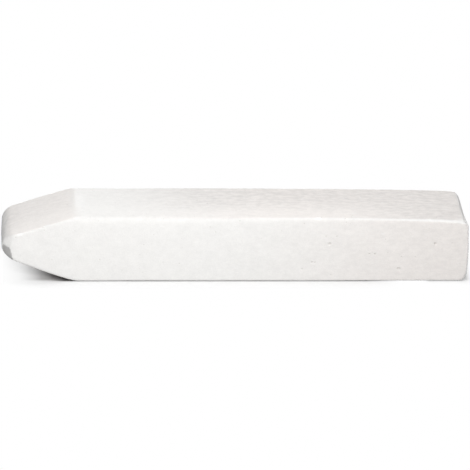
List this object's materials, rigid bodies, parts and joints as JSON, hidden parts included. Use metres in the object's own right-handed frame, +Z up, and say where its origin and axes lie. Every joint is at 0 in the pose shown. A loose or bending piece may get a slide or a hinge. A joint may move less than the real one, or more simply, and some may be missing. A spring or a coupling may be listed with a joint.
{
  "type": "chalk stick",
  "caption": "Square white chalk stick lying on its flat side, with a worn two-sided chisel point at one end and a plain square butt at the other.",
  "frame": {"origin": "middle of the footprint, on the surface that the stick lies on", "axes": "+X along the stick, from the chisel point towards the butt; +Y across it, away from the side with the broken corner; +Z up"},
  "size_m": [0.0786, 0.012, 0.012],
  "materials": {
    "white_chalk": "matte"
  },
  "bodies": {
    "root": {"chalk_stick": "white_chalk"}
  },
  "joints": []
}
